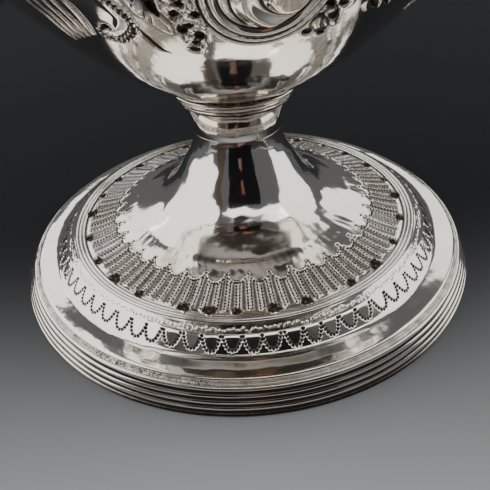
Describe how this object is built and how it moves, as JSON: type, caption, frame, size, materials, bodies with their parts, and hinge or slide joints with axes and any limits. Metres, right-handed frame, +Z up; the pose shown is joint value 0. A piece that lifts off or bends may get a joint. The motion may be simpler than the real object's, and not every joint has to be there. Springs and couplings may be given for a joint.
{
  "type": "sugar bowl",
  "caption": "Round open sugar bowl in chased sheet silver with a reeded rim, on a tapered collar and a spreading pedestal foot with a reeded edge.",
  "frame": {"origin": "middle of the foot, on the surface it stands on", "axes": "+Z up along the axis of revolution; the pattern's middle cartouche faces -Y"},
  "size_m": [0.1074, 0.1074, 0.092],
  "materials": {
    "bowl_silver": "polished sterling silver, chased, tarnish in the hollows",
    "foot_silver": "polished sterling silver with a punched matted field, tarnish in the punch marks",
    "collar_silver": "polished sterling silver with faint stretch marks",
    "wire_silver": "polished sterling silver, dark between the reeds",
    "solder": "dull silver solder, pitted and tarnished"
  },
  "bodies": {
    "root": {"bowl": "bowl_silver", "rim_wire": "wire_silver", "rim_solder": "solder", "bowl_solder": "solder", "collar_ring": "wire_silver", "collar": "collar_silver", "collar_solder": "solder", "foot": "foot_silver", "foot_wire": "wire_silver", "foot_solder": "solder"}
  },
  "joints": []
}
